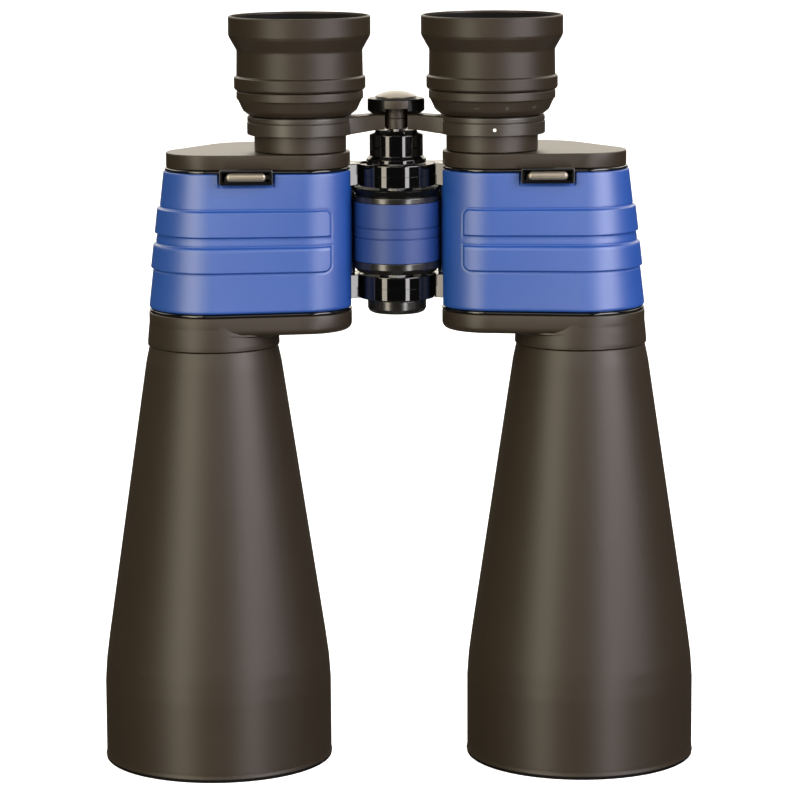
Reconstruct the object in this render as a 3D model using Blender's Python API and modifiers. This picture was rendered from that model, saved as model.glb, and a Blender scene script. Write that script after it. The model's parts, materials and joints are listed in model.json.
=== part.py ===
"""Large astronomy binoculars of the 15x70 class, standing upright on their objective rims.

All lengths here are millimetres; make_object scales each mesh to metres.
+Z runs along both optical axes towards the eyes, X runs from the left barrel to the right
one, and -Y is the flat underside. The hinge axis is X = 0, Y = 0, and the floor is Z = 0.
"""
import math

import bmesh
import bpy
from mathutils import Matrix, Vector

MM = 0.001
GAP = 0.3                 # clearance between neighbouring pieces
TURN_STEPS = 24           # facets round a large turned piece
SMALL_STEPS = 12          # facets round a small or inner turned piece
ARC_POINTS = 7            # points round each of a housing's three wells
SIDE_POINTS = 2           # points along each straight side between them
MERGE = 0.00001           # metres, closes a turned piece on its axis

# optical layout
EYE_X = 35.55             # eyepiece axis from the hinge axis
OBJECTIVE_X = 68.6        # objective axis from the hinge axis
HUMP = (52.1, 16.5)       # corner where the folded light path turns
TOTAL_HEIGHT = 280.0

# levels along the optical axes
TUBE_TOP = 157.8
COLLAR_BOTTOM = 158.1
COVER_BOTTOM = 163.5
COVER_TOP = 170.6
ARMOR_BOTTOM = 172.0
ARMOR_TOP = 223.1
LID_BOTTOM = 224.5
LID_TOP = 230.0
SHELF = (190.0, 192.5)
WALL_LEVELS = (211.0, 198.0, 185.0)

# the housing's three wells, counter-clockwise on the right half, and their section radii
WELLS = ((OBJECTIVE_X, 0.0), HUMP, (EYE_X, 0.0))
RADII_LOW = (23.9, 23.8, 19.1)
RADII_HIGH = (17.8, 22.8, 19.1)
LID_RADII = (16.8, 21.7, 18.4)
COVER_RADII = (23.9, 23.6, 18.7)
ARMOR_THICK = 1.7
WALL = 2.0
LIP_INSET = 0.5
BAND_RAISE = 0.9
BANDS = ((186.8, 196.3), (199.8, 209.7))
BAND_END_X = 23.4

# hinge
HINGE_PIN_R = 6.0
EAR_R = 14.0
UPPER_EARS = (217.1, 225.3)
LOWER_EARS = (175.2, 184.0)
ARM_HALF_DEPTH = 9.5
COLUMN_R = 9.9
COLUMN_TOP = 237.5

# focus wheel and its spindle
WHEEL_R = 16.1
WHEEL = (185.0, 216.4)
GRIP = (189.3, 211.3)
GRIP_SEAT_R = 13.2
SPINDLE_R = 1.9
FOOT_R = 3.1
PIN_Z = 195.0
PIN_R = 0.9

# bridge and eyepieces
BRIDGE_SLOT = 4.2
BRIDGE_ARM = (238.0, 243.8)
CLAMP = (236.3, 243.1)
CLAMP_R = 19.65
BARREL_R = 17.0
SLIDE_R = 14.7            # part of the barrel that slides through the rear cover
EYEPIECE_BORE = 13.6
DISC_R = 10.55
DISC = (244.1, 249.4)

# Base colour, roughness and metallic value of each finish.
FINISHES = {
    "satin_paint": ((0.045, 0.038, 0.032), 0.42, 0.0),
    "blue_rubber": ((0.020, 0.055, 0.330), 0.60, 0.0),
    "cup_rubber": ((0.040, 0.034, 0.029), 0.60, 0.0),
    "gloss_black": ((0.006, 0.006, 0.007), 0.12, 0.0),
    "bare_metal": ((0.560, 0.560, 0.570), 0.30, 1.0),
    "brass": ((0.620, 0.440, 0.180), 0.30, 1.0),
    "pale_cap": ((0.420, 0.380, 0.320), 0.35, 0.5),
    "inner_black": ((0.010, 0.010, 0.010), 0.80, 0.0),
    "glass": ((0.750, 0.850, 0.800), 0.03, 0.0),
}


def clear_scene():
    """Remove whatever the file opened with."""
    for obj in list(bpy.data.objects):
        bpy.data.objects.remove(obj)


clear_scene()
PARTS = bpy.data.collections.new("astronomy_binoculars")
TOOLS = bpy.data.collections.new("cutters")
bpy.context.scene.collection.children.link(PARTS)
bpy.context.scene.collection.children.link(TOOLS)


def make_object(name, bm, at=(0.0, 0.0)):
    """Turn a bmesh in millimetres into an object in metres, with its origin on the axis at."""
    bmesh.ops.scale(bm, vec=(MM, MM, MM), verts=bm.verts)
    mesh = bpy.data.meshes.new(name)
    bm.to_mesh(mesh)
    bm.free()
    obj = bpy.data.objects.new(name, mesh)
    obj.location = (at[0] * MM, at[1] * MM, 0.0)
    TOOLS.objects.link(obj)
    obj.hide_render = True
    obj.display_type = "WIRE"
    return obj


def make_part(obj, finish, body):
    """Promote a shape to a named piece of the binoculars, on its moving body."""
    TOOLS.objects.unlink(obj)
    PARTS.objects.link(obj)
    obj.hide_render = False
    obj.display_type = "TEXTURED"
    obj.parent = body
    color, roughness, metallic = FINISHES[finish]
    material = bpy.data.materials.new(obj.name)
    material.use_nodes = True
    shader = material.node_tree.nodes["Principled BSDF"]
    shader.inputs["Base Color"].default_value = (*color, 1.0)
    shader.inputs["Roughness"].default_value = roughness
    shader.inputs["Metallic"].default_value = metallic
    obj.data.materials.append(material)
    return obj


def make_body(name):
    """An empty on the hinge axis that carries the pieces of one moving body."""
    body = bpy.data.objects.new(name, None)
    bpy.context.scene.collection.objects.link(body)
    return body


def combine(obj, operation, *others):
    """Cut or join a shape with others, in order."""
    for other in others:
        step = obj.modifiers.new(other.name, "BOOLEAN")
        step.operation = operation
        step.object = other
    return obj


def turned(name, outer, inner=(), at=(0.0, 0.0), steps=TURN_STEPS):
    """Turn (radius, z) points: the outer side from top to bottom, the bore from bottom to top."""
    profile = [*outer, *inner]
    bm = bmesh.new()
    verts = [bm.verts.new((radius, 0.0, z)) for radius, z in profile]
    for first, second in zip(verts, verts[1:]):
        bm.edges.new((first, second))
    if inner:
        bm.edges.new((verts[-1], verts[0]))
    obj = make_object(name, bm, at)
    screw = obj.modifiers.new("turn", "SCREW")
    screw.steps = steps
    screw.render_steps = steps
    screw.use_merge_vertices = True
    screw.merge_threshold = MERGE
    return obj


def tube(name, radius, bore, bottom, top, at=(0.0, 0.0), steps=TURN_STEPS):
    """A plain ring."""
    outer = [(radius, top), (radius, bottom)]
    inner = [(bore, bottom), (bore, top)]
    return turned(name, outer, inner, at, steps)


def rod(name, radius, bottom, top, at=(0.0, 0.0), steps=TURN_STEPS):
    """A plain upright cylinder."""
    bm = bmesh.new()
    bmesh.ops.create_cone(bm, cap_ends=True, segments=steps, radius1=radius,
                          radius2=radius, depth=top - bottom)
    bmesh.ops.translate(bm, vec=(0.0, 0.0, (bottom + top) / 2), verts=bm.verts)
    return make_object(name, bm, at)


def cross_rod(name, radius, half_length, z):
    """A cylinder along X through the hinge axis."""
    bm = bmesh.new()
    bmesh.ops.create_cone(bm, cap_ends=True, segments=SMALL_STEPS, radius1=radius,
                          radius2=radius, depth=2 * half_length)
    turn = Matrix.Rotation(math.pi / 2, 4, "Y")
    bmesh.ops.transform(bm, matrix=Matrix.Translation((0.0, 0.0, z)) @ turn, verts=bm.verts)
    return make_object(name, bm)


def block(name, x_range, y_range, z_range, at=(0.0, 0.0)):
    """A box between the given limits, in either order."""
    ranges = (x_range, y_range, z_range)
    centre = Vector([(low + high) / 2 for low, high in ranges])
    size = Vector([abs(high - low) for low, high in ranges])
    bm = bmesh.new()
    bmesh.ops.create_cube(bm, size=1.0)
    bmesh.ops.scale(bm, vec=size, verts=bm.verts)
    bmesh.ops.translate(bm, vec=centre, verts=bm.verts)
    return make_object(name, bm, at)


def loft(name, rings, ring_shaped=False, at=(0.0, 0.0)):
    """Skin matching rings of points; a ring-shaped loft closes on itself instead of on caps."""
    bm = bmesh.new()
    loops = [[bm.verts.new(point) for point in ring] for ring in rings]
    pairs = list(zip(loops, loops[1:]))
    if ring_shaped:
        pairs.append((loops[-1], loops[0]))
    else:
        bm.faces.new(loops[0])
        bm.faces.new(loops[-1])
    for lower, upper in pairs:
        count = len(lower)
        for i in range(count):
            j = (i + 1) % count
            bm.faces.new((lower[i], lower[j], upper[j], upper[i]))
    bmesh.ops.triangulate(bm, faces=bm.faces)
    bmesh.ops.recalc_face_normals(bm, faces=bm.faces)
    return make_object(name, bm, at)


def housing_radii(z):
    """Section radii of the armoured housing, which flares towards the objectives."""
    share = (z - ARMOR_BOTTOM) / (ARMOR_TOP - ARMOR_BOTTOM)
    return [low + (high - low) * share for low, high in zip(RADII_LOW, RADII_HIGH)]


def side_angle(first, second, radii):
    """Outward direction of the straight side that joins two neighbouring wells."""
    across = WELLS[second][0] - WELLS[first][0]
    along = WELLS[second][1] - WELLS[first][1]
    lean = (radii[first] - radii[second]) / math.hypot(across, along)
    return math.atan2(along, across) - math.acos(lean)


def well_arcs():
    """The directions that each well's arc spans, the same at every height."""
    radii = [(low + high) / 2 for low, high in zip(RADII_LOW, RADII_HIGH)]
    starts = [side_angle(index - 1, index, radii) % (2 * math.pi) for index in range(3)]
    arcs = []
    for start, end in zip(starts, starts[1:] + starts[:1]):
        span = (end - start) % (2 * math.pi)
        arcs.append([start + span * step / (ARC_POINTS - 1) for step in range(ARC_POINTS)])
    return arcs


def outline(side, z, radii, inset=0.0, band=0.0):
    """The hull round the three wells, as a ring of points at height z.

    band lifts the points beyond BAND_END_X, for the raised grip bands.
    """
    rounded = []
    for (x, y), well_radius, arc in zip(WELLS, radii, well_arcs()):
        points = []
        for angle in arc:
            radius = well_radius - inset
            if x + radius * math.cos(angle) > BAND_END_X:
                radius += band
            points.append((x + radius * math.cos(angle), y + radius * math.sin(angle)))
        rounded.append(points)
    ring = []
    for index, points in enumerate(rounded):
        start, end = points[-1], rounded[(index + 1) % len(rounded)][0]
        ring += points
        for step in range(1, SIDE_POINTS + 1):
            share = step / (SIDE_POINTS + 1)
            ring.append([a + (b - a) * share for a, b in zip(start, end)])
    return [(side * x, y, z) for x, y in ring]


def shell_ring(side, z, inset, band=0.0):
    """One ring of the armoured housing."""
    return outline(side, z, housing_radii(z), inset, band)


def make_objective(side, prefix, body):
    """The tapered tube, its rim, and the achromatic doublet in its cell."""
    at = (side * OBJECTIVE_X, 0.0)
    tube_outer = [(21.6, 163.2), (21.6, TUBE_TOP), (24.1, TUBE_TOP), (25.3, 151.8),
                  (40.9, 47.5), (42.1, 38.5), (42.7, 30.0), (43.0, 3.4)]
    tube_inner = [(41.2, 3.4), (41.2, 28.0), (39.2, 46.0), (23.3, 151.8),
                  (19.6, TUBE_TOP), (19.6, 163.2)]
    make_part(turned(prefix + "objective_tube", tube_outer, tube_inner, at),
              "satin_paint", body)
    rim_outer = [(40.8, 8.0), (40.8, 3.1), (43.0, 3.1), (43.0, 0.6), (42.6, 0.0)]
    rim_inner = [(37.0, 0.0), (36.2, 0.8), (36.2, 8.0)]
    make_part(turned(prefix + "objective_rim", rim_outer, rim_inner, at), "satin_paint", body)
    cell_outer = [(40.8, 26.0), (40.8, 8.4)]
    cell_inner = [(36.6, 8.4), (36.6, 23.2), (35.0, 23.2), (35.0, 26.0)]
    make_part(turned(prefix + "objective_cell", cell_outer, cell_inner, at),
              "inner_black", body)
    make_part(tube(prefix + "objective_retaining_ring", 36.2, 34.8, 8.8, 11.6, at),
              "inner_black", body)
    crown = lens_profile(36.2, 12.4, 16.6, bulge_down=3.0, bulge_up=3.6)
    make_part(turned(prefix + "objective_crown_lens", crown, at=at), "glass", body)
    flint = lens_profile(36.2, 17.0, 22.8, bulge_down=-3.6, bulge_up=0.0)
    make_part(turned(prefix + "objective_flint_lens", flint, at=at), "glass", body)


def lens_profile(radius, edge_bottom, edge_top, bulge_down, bulge_up):
    """Half section of a lens; a positive bulge swells that face outwards on the axis."""
    shares = (0.0, 0.6, 1.0)
    top = [(radius * t, edge_top + bulge_up * (1 - t * t)) for t in shares]
    bottom = [(radius * t, edge_bottom - bulge_down * (1 - t * t)) for t in reversed(shares)]
    return top + bottom


def hinge_arm(side, prefix, level, ears, own_low):
    """Tools that add one hinge arm and its ear to a housing, and clear the other half's ear."""
    bottom, top = ears
    split = (bottom + top) / 2
    name = prefix + level
    inner = block(name + "_arm_inner", (side * 10.0, side * 16.4),
                  (-ARM_HALF_DEPTH, ARM_HALF_DEPTH), (bottom, top))
    outer = block(name + "_arm_outer", (side * 15.9, side * 19.8),
                  (-ARM_HALF_DEPTH, ARM_HALF_DEPTH), (bottom, min(top, LID_BOTTOM - 0.5)))
    half_gap = GAP / 2
    if own_low:
        ear = rod(name + "_ear", EAR_R, bottom, split + 1.0)
        clear = rod(name + "_ear_room", EAR_R + GAP, split - half_gap, top + 1.0)
    else:
        ear = rod(name + "_ear", EAR_R, split - 1.0, top)
        clear = rod(name + "_ear_room", EAR_R + GAP, bottom - 1.0, split + half_gap)
    return (inner, outer, ear), clear


def make_housing(side, prefix, body):
    """The cast prism housing with its two hinge arms."""
    outside = ARMOR_THICK + GAP
    rings = [
        shell_ring(side, 170.9, LIP_INSET),
        shell_ring(side, 171.7, LIP_INSET),
        shell_ring(side, 171.7, outside),
        *[shell_ring(side, z, outside) for z in reversed(WALL_LEVELS)],
        shell_ring(side, 223.4, outside),
        shell_ring(side, 223.4, LIP_INSET),
        shell_ring(side, 224.2, LIP_INSET),
        shell_ring(side, 224.2, outside + WALL),
        *[shell_ring(side, z, outside + WALL) for z in WALL_LEVELS],
        shell_ring(side, 170.9, outside + WALL),
    ]
    housing = loft(prefix + "prism_housing", rings, ring_shaped=True)
    is_left = side < 0
    upper, upper_room = hinge_arm(side, prefix, "upper", UPPER_EARS, own_low=not is_left)
    lower, lower_room = hinge_arm(side, prefix, "lower", LOWER_EARS, own_low=is_left)
    combine(housing, "UNION", *upper, *lower)
    bore = rod(prefix + "hinge_bore", HINGE_PIN_R + GAP, 165.0, 235.0)
    combine(housing, "DIFFERENCE", upper_room, lower_room, bore)
    make_part(housing, "gloss_black", body)


def make_armor(side, prefix, body):
    """The blue rubber skin round the housing, with two raised grip bands."""
    rings = [shell_ring(side, ARMOR_BOTTOM, 1.0), shell_ring(side, ARMOR_BOTTOM + 1.2, 0.0)]
    for bottom, top in BANDS:
        rings.append(shell_ring(side, bottom - 0.3, 0.0))
        rings.append(shell_ring(side, bottom, 0.0, BAND_RAISE))
        rings.append(shell_ring(side, top, 0.0, BAND_RAISE))
        rings.append(shell_ring(side, top + 0.3, 0.0))
    rings.append(shell_ring(side, ARMOR_TOP - 0.5, 0.0))
    rings.append(shell_ring(side, ARMOR_TOP, 0.4))
    for z in (ARMOR_TOP, *WALL_LEVELS, ARMOR_BOTTOM):
        rings.append(shell_ring(side, z, ARMOR_THICK))
    armor = loft(prefix + "armor", rings, ring_shaped=True)
    depth = (-ARM_HALF_DEPTH - 0.4, ARM_HALF_DEPTH + 0.4)
    inward = (side * 12.0, side * 24.0)
    upper = block(prefix + "upper_notch", inward, depth, (UPPER_EARS[0] - 0.4, 230.0))
    lower = block(prefix + "lower_notch", inward, depth, (165.0, LOWER_EARS[1] + 0.4))
    lug = block(prefix + "lug_notch", (side * 44.9, side * 65.5), (-30.0, -12.0),
                (219.1, 230.0))
    combine(armor, "DIFFERENCE", upper, lower, lug)
    make_part(armor, "blue_rubber", body)


def make_covers(side, prefix, body):
    """The front cover with its tube collar, and the rear cover under the eyepiece."""
    objective = (side * OBJECTIVE_X, 0.0)
    rings = [outline(side, COVER_BOTTOM, COVER_RADII, 2.2),
             outline(side, COVER_BOTTOM + 0.9, COVER_RADII, 0.7),
             outline(side, COVER_BOTTOM + 2.4, COVER_RADII, 0.1),
             outline(side, COVER_TOP, COVER_RADII, 0.0)]
    front = loft(prefix + "front_cover", rings)
    collar = rod(prefix + "collar", 24.6, COLLAR_BOTTOM, 167.0, objective)
    hollow = loft(prefix + "front_hollow", [outline(side, 165.7, COVER_RADII, 2.3),
                                            outline(side, 175.0, COVER_RADII, 2.3)])
    bore = rod(prefix + "collar_bore", 21.9, 150.0, 170.0, objective)
    combine(front, "UNION", collar)
    combine(front, "DIFFERENCE", hollow, bore)
    make_part(front, "satin_paint", body)

    rings = [outline(side, LID_BOTTOM, LID_RADII, 0.0),
             outline(side, LID_TOP - 0.9, LID_RADII, 0.1),
             outline(side, LID_TOP, LID_RADII, 0.5)]
    rear = loft(prefix + "rear_cover", rings)
    hole = rod(prefix + "barrel_hole", SLIDE_R + GAP, 220.0, 235.0, (side * EYE_X, 0.0))
    combine(rear, "DIFFERENCE", hole)
    make_part(rear, "satin_paint", body)


def make_lug(side, prefix, body):
    """The bar on the underside that takes the neck strap."""
    middle = side * 55.2
    lug = block(prefix + "strap_lug", (middle - 9.9, middle + 9.9), (-22.6, -18.4),
                (219.4, 225.2))
    tongue = block(prefix + "lug_tongue", (middle - 7.0, middle + 7.0), (-19.0, -16.9),
                   (219.4, 222.9))
    passage = block(prefix + "lug_passage", (middle - 7.2, middle + 7.2), (-21.2, -19.2),
                    (215.0, 230.0))
    combine(lug, "UNION", tongue)
    combine(lug, "DIFFERENCE", passage)
    make_part(lug, "gloss_black", body)


def stadium(half_length, radius, z, steps=8):
    """A ring of points round a bar with round ends."""
    points = []
    for end, start in ((1, -math.pi / 2), (-1, math.pi / 2)):
        for step in range(steps + 1):
            angle = start + math.pi * step / steps
            points.append((end * half_length + radius * math.cos(angle),
                           radius * math.sin(angle), z))
    return points


def make_prism(name, centre, heading, base, up, body):
    """A Porro prism: a right-angle prism with round ends, its long face at the shelf."""
    half, width, roof = 22.0, 11.0, 21.2
    levels = sorted((base, base + up * roof))
    prism = loft(name, [stadium(half - width, width, z) for z in levels], at=centre)
    flat = half - roof
    section = ((-half, base), (half, base), (flat, base + up * roof),
               (-flat, base + up * roof))
    sides = [[(x, y, z) for x, z in section] for y in (-width - 1, width + 1)]
    wedge = loft(name + "_roof", sides, at=centre)
    combine(prism, "INTERSECT", wedge)
    prism.rotation_euler.z = heading
    wedge.rotation_euler.z = heading
    make_part(prism, "glass", body)


def make_clip(name, centre, heading, base, up, body):
    """The spring strap that holds a prism against the shelf."""
    side_y, roof, thick, half_width = 11.8, 22.0, 0.7, 3.0
    path = ((-side_y, base), (-side_y, base + up * roof), (side_y, base + up * roof),
            (side_y, base))
    bm = bmesh.new()
    rows = [[bm.verts.new((x, y, z)) for x in (-half_width, half_width)] for y, z in path]
    for first, second in zip(rows, rows[1:]):
        bm.faces.new((first[0], first[1], second[1], second[0]))
    bmesh.ops.recalc_face_normals(bm, faces=bm.faces)
    strap = make_object(name, bm, centre)
    strap.rotation_euler.z = heading
    skin = strap.modifiers.new("thickness", "SOLIDIFY")
    skin.thickness = thick * MM
    skin.offset = 0.0
    make_part(strap, "bare_metal", body)


def make_prisms(side, prefix, body):
    """The shelf, the two Porro prisms on its two faces, and their spring straps."""
    low, high = SHELF
    inset = ARMOR_THICK + GAP + WALL + 2 * GAP
    radii = housing_radii(high)
    shelf = loft(prefix + "prism_shelf", [outline(side, low, radii, inset),
                                          outline(side, high, radii, inset)])
    for label, (x, y) in (("objective", (OBJECTIVE_X, 0.0)), ("hump", HUMP),
                          ("eye", (EYE_X, 0.0))):
        window = rod(f"{prefix}{label}_window", 9.5, low - 2, high + 2, (side * x, y),
                     SMALL_STEPS)
        combine(shelf, "DIFFERENCE", window)
    make_part(shelf, "inner_black", body)

    middle_y = HUMP[1] / 2
    upper_at = (side * (OBJECTIVE_X + HUMP[0]) / 2, middle_y)
    lower_at = (side * (EYE_X + HUMP[0]) / 2, middle_y)
    upper_heading = -side * math.pi / 4
    lower_heading = side * math.pi / 4
    make_prism(prefix + "upper_prism", upper_at, upper_heading, high + GAP, 1, body)
    make_prism(prefix + "lower_prism", lower_at, lower_heading, low - GAP, -1, body)
    make_clip(prefix + "upper_prism_clip", upper_at, upper_heading, high + GAP, 1, body)
    make_clip(prefix + "lower_prism_clip", lower_at, lower_heading, low - GAP, -1, body)


def make_bridge_arm(side, prefix, body):
    """One arm of the focus bridge, from its clamp ring to its eye on the spindle."""
    at = (side * EYE_X, 0.0)
    ring_outer = [(CLAMP_R - 0.3, CLAMP[1]), (CLAMP_R, CLAMP[1] - 0.3), (CLAMP_R, 241.5),
                  (CLAMP_R - 0.3, 241.3), (CLAMP_R, 241.1), (CLAMP_R, CLAMP[0] + 0.4),
                  (CLAMP_R - 0.4, CLAMP[0])]
    bore = BARREL_R + GAP
    arm = turned(prefix + "bridge_arm", ring_outer, [(bore, CLAMP[0]), (bore, CLAMP[1])], at)
    low, high = BRIDGE_ARM
    stations = ((BRIDGE_SLOT, low, high, 5.0), (9.0, low - 0.1, high - 0.1, 5.0),
                (13.5, low - 0.8, high - 0.5, 5.4), (17.7, CLAMP[0] + 0.2, CLAMP[1] - 0.2, 6.4))
    sections = [[(side * x, -y, bottom), (side * x, y, bottom), (side * x, y, top),
                 (side * x, -y, top)] for x, bottom, top, y in stations]
    beam = loft(prefix + "bridge_beam", sections)
    beam.location.x = 0.0
    split = 242.0
    is_left = side < 0
    eye_low, eye_high = (split + GAP / 2, 245.9) if is_left else (low, split - GAP / 2)
    eye = rod(prefix + "bridge_eye", 3.15, eye_low, eye_high, steps=SMALL_STEPS)
    web = block(prefix + "bridge_web", (side * 1.0, side * 5.0), (0.4, 4.6),
                (eye_low, min(eye_high, high - 0.1)))
    hole = rod(prefix + "bridge_eye_hole", SPINDLE_R + GAP, 230.0, 250.0, steps=SMALL_STEPS)
    combine(arm, "UNION", beam, web, eye)
    combine(arm, "DIFFERENCE", hole)
    make_part(arm, "satin_paint", body)


def make_eyepiece(side, prefix, bridge, shell_body, lens_body):
    """Barrel, outer shell, lens barrel with its two lenses, and the rubber eyecup."""
    at = (side * EYE_X, 0.0)
    bore = EYEPIECE_BORE
    barrel_outer = [(BARREL_R, 243.3), (BARREL_R, LID_TOP + GAP), (SLIDE_R, LID_TOP + GAP),
                    (SLIDE_R, 217.0)]
    make_part(turned(prefix + "eyepiece_barrel", barrel_outer, [(bore, 217.0), (bore, 243.3)],
                     at), "satin_paint", bridge)
    shell_outer = [(23.2, 252.6), (23.45, 252.3), (23.45, 249.5), (23.0, 249.2),
                   (21.1, 245.2), (19.15, 243.7)]
    shell_name = "diopter_ring" if shell_body is not bridge else prefix + "eyepiece_shell"
    make_part(turned(shell_name, shell_outer, [(bore, 243.7), (bore, 252.6)], at),
              "satin_paint", shell_body)
    cup_outer = [(25.9, TOTAL_HEIGHT), (26.25, 279.6), (26.25, 273.0), (25.9, 272.3),
                 (23.25, 267.4), (23.4, 257.9), (24.3, 257.5), (24.3, 253.4), (23.7, 252.9)]
    cup_inner = [(bore, 252.9), (bore, 266.6), (20.0, 269.0), (22.2, 272.5), (25.2, 279.3),
                 (25.4, TOTAL_HEIGHT)]
    make_part(turned(prefix + "eyecup", cup_outer, cup_inner, at), "cup_rubber", shell_body)
    lens_r, lens_wall = 11.6, 1.3
    outside = lens_r + GAP + lens_wall
    sleeve_inner = [(10.2, 218.6), (10.2, 220.4), (lens_r + GAP, 220.4),
                    (lens_r + GAP, 264.2)]
    make_part(turned(prefix + "lens_barrel", [(outside, 264.2), (outside, 218.6)],
                     sleeve_inner, at, SMALL_STEPS), "inner_black", lens_body)
    field = lens_profile(lens_r, 222.4, 225.4, bulge_down=1.6, bulge_up=1.2)
    make_part(turned(prefix + "field_lens", field, at=at, steps=SMALL_STEPS),
              "glass", lens_body)
    eye = lens_profile(lens_r, 258.2, 261.6, bulge_down=1.4, bulge_up=2.0)
    make_part(turned(prefix + "eye_lens", eye, at=at, steps=SMALL_STEPS), "glass", lens_body)


def make_hinge(body):
    """The hollow hinge pin with its pin slots, the column above it and the tripod bush."""
    pin_outer = [(HINGE_PIN_R, 233.0), (HINGE_PIN_R, LOWER_EARS[0] + 0.1)]
    pin_inner = [(5.0, LOWER_EARS[0] + 0.1), (5.0, 184.5), (3.4, 184.5), (3.4, 233.0)]
    pin = turned("hinge_pin", pin_outer, pin_inner, steps=SMALL_STEPS)
    slot = block("pin_slot", (-8.0, 8.0), (-1.3, 1.3), (PIN_Z - 1.4, 204.8))
    combine(pin, "DIFFERENCE", slot)
    make_part(pin, "bare_metal", body)
    column_outer = [(7.4, COLUMN_TOP), (COLUMN_R, 235.9), (COLUMN_R, 228.1), (11.1, 227.0),
                    (11.1, UPPER_EARS[1] + GAP)]
    column_inner = [(HINGE_PIN_R + GAP, UPPER_EARS[1] + GAP), (HINGE_PIN_R + GAP, 233.4),
                    (3.4, 233.4), (3.4, COLUMN_TOP)]
    make_part(turned("hinge_column", column_outer, column_inner), "gloss_black", body)
    make_part(tube("tripod_bush", 4.7, 3.3, LOWER_EARS[0] + 0.1, 183.2, steps=SMALL_STEPS),
              "brass", body)


def make_tripod_cap(body):
    """The screw cap over the tripod socket."""
    outer = [(0.0, 181.0), (2.9, 181.0), (2.9, LOWER_EARS[0] - GAP),
             (10.7, LOWER_EARS[0] - GAP), (10.9, 174.5), (10.9, 171.2), (10.3, 170.1),
             (9.2, 169.6), (0.0, 169.6)]
    make_part(turned("tripod_socket_cap", outer), "satin_paint", body)


def make_focus_wheel(body):
    """The flanged drum and its blue grip sleeve."""
    bottom, top = WHEEL
    outer = [(15.4, top), (WHEEL_R, top - 0.6), (WHEEL_R, 213.8), (15.8, 213.5),
             (15.8, GRIP[1] + GAP), (GRIP_SEAT_R, GRIP[1] + GAP), (GRIP_SEAT_R, GRIP[0] - GAP),
             (WHEEL_R, GRIP[0] - GAP), (WHEEL_R, 186.8), (14.4, bottom)]
    bore = HINGE_PIN_R + GAP
    room = 8.6
    inner = [(bore, bottom), (bore, 188.5), (room, 188.5), (room, 208.0), (bore, 208.0),
             (bore, top)]
    make_part(turned("focus_drum", outer, inner), "gloss_black", body)
    face = WHEEL_R - 0.1
    sleeve = [(face, GRIP[1])]
    for groove in (202.1, 198.3):
        sleeve += [(face, groove + 0.4), (face - 0.4, groove), (face, groove - 0.4)]
    sleeve.append((face, GRIP[0]))
    seat = GRIP_SEAT_R + GAP
    make_part(turned("focus_grip", sleeve, [(seat, GRIP[0]), (seat, GRIP[1])]),
              "blue_rubber", body)


def make_spindle(body):
    """The sliding spindle, its cross pin and follower ring, and the cap over the bridge."""
    outer = [(0.0, 247.7), (SPINDLE_R, 247.7), (SPINDLE_R, 199.5), (FOOT_R, 199.5),
             (FOOT_R, 190.5), (0.0, 190.5)]
    spindle = turned("focus_spindle", outer, steps=SMALL_STEPS)
    combine(spindle, "DIFFERENCE", cross_rod("spindle_hole", PIN_R + GAP, 9.0, PIN_Z))
    make_part(spindle, "bare_metal", body)
    make_part(cross_rod("focus_cross_pin", PIN_R, 7.9, PIN_Z), "bare_metal", body)
    follower = tube("focus_follower", 8.3, HINGE_PIN_R + GAP, PIN_Z - 2.5, PIN_Z + 2.5,
                    steps=SMALL_STEPS)
    combine(follower, "DIFFERENCE", cross_rod("follower_hole", PIN_R + GAP, 9.0, PIN_Z))
    make_part(follower, "brass", body)
    bottom, top = DISC
    disc_outer = [(0.0, top), (DISC_R - 0.3, top), (DISC_R, top - 0.3),
                  (DISC_R, bottom + 0.8), (DISC_R - 1.0, bottom), (0.0, bottom)]
    disc = turned("bridge_cap", disc_outer)
    slot = block("cap_slot", (-BRIDGE_SLOT, BRIDGE_SLOT), (-15.0, 0.0), (240.0, 246.2))
    eye_room = rod("cap_eye_room", BRIDGE_SLOT, 240.0, 246.2, steps=SMALL_STEPS)
    pocket = rod("cap_pocket", SPINDLE_R + GAP, 240.0, 248.0, steps=SMALL_STEPS)
    combine(disc, "DIFFERENCE", slot, eye_room, pocket)
    make_part(disc, "gloss_black", body)
    dome = [(0.0, 252.1), (3.0, 251.8), (5.8, 251.0), (7.6, 250.1), (7.6, 249.7),
            (0.0, 249.7)]
    make_part(turned("bridge_cap_plate", dome, steps=SMALL_STEPS), "pale_cap", body)


def make_half(side, prefix, body):
    """One telescope: objective, housing, covers and prisms."""
    make_objective(side, prefix, body)
    make_housing(side, prefix, body)
    make_armor(side, prefix, body)
    make_covers(side, prefix, body)
    make_lug(side, prefix, body)
    make_prisms(side, prefix, body)


left_body = make_body("left_body")
right_body = make_body("right_body")
wheel_body = make_body("wheel_body")
left_bridge = make_body("left_bridge_body")
right_bridge = make_body("right_bridge_body")
diopter_body = make_body("diopter_body")
right_lens_body = make_body("right_lens_body")
cap_body = make_body("cap_body")

make_half(-1, "left_", left_body)
make_half(1, "right_", right_body)
make_hinge(left_body)
make_tripod_cap(cap_body)
make_focus_wheel(wheel_body)
make_spindle(left_bridge)
make_bridge_arm(-1, "left_", left_bridge)
make_bridge_arm(1, "right_", right_bridge)
make_eyepiece(-1, "left_", left_bridge, left_bridge, left_bridge)
make_eyepiece(1, "right_", right_bridge, diopter_body, right_lens_body)
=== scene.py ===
"""The looks of large astronomy binoculars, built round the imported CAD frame.

Shapes are drawn in millimetres and scaled to metres by make_object. +Z runs along the optical
axes towards the eyes, X runs from the left barrel to the right one, and the hinge axis is
X = 0, Y = 0. Fine pieces take their places from the boxes of the CAD nodes that they stand for,
or from heights that are named beside them.
"""
import json
import math

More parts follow.
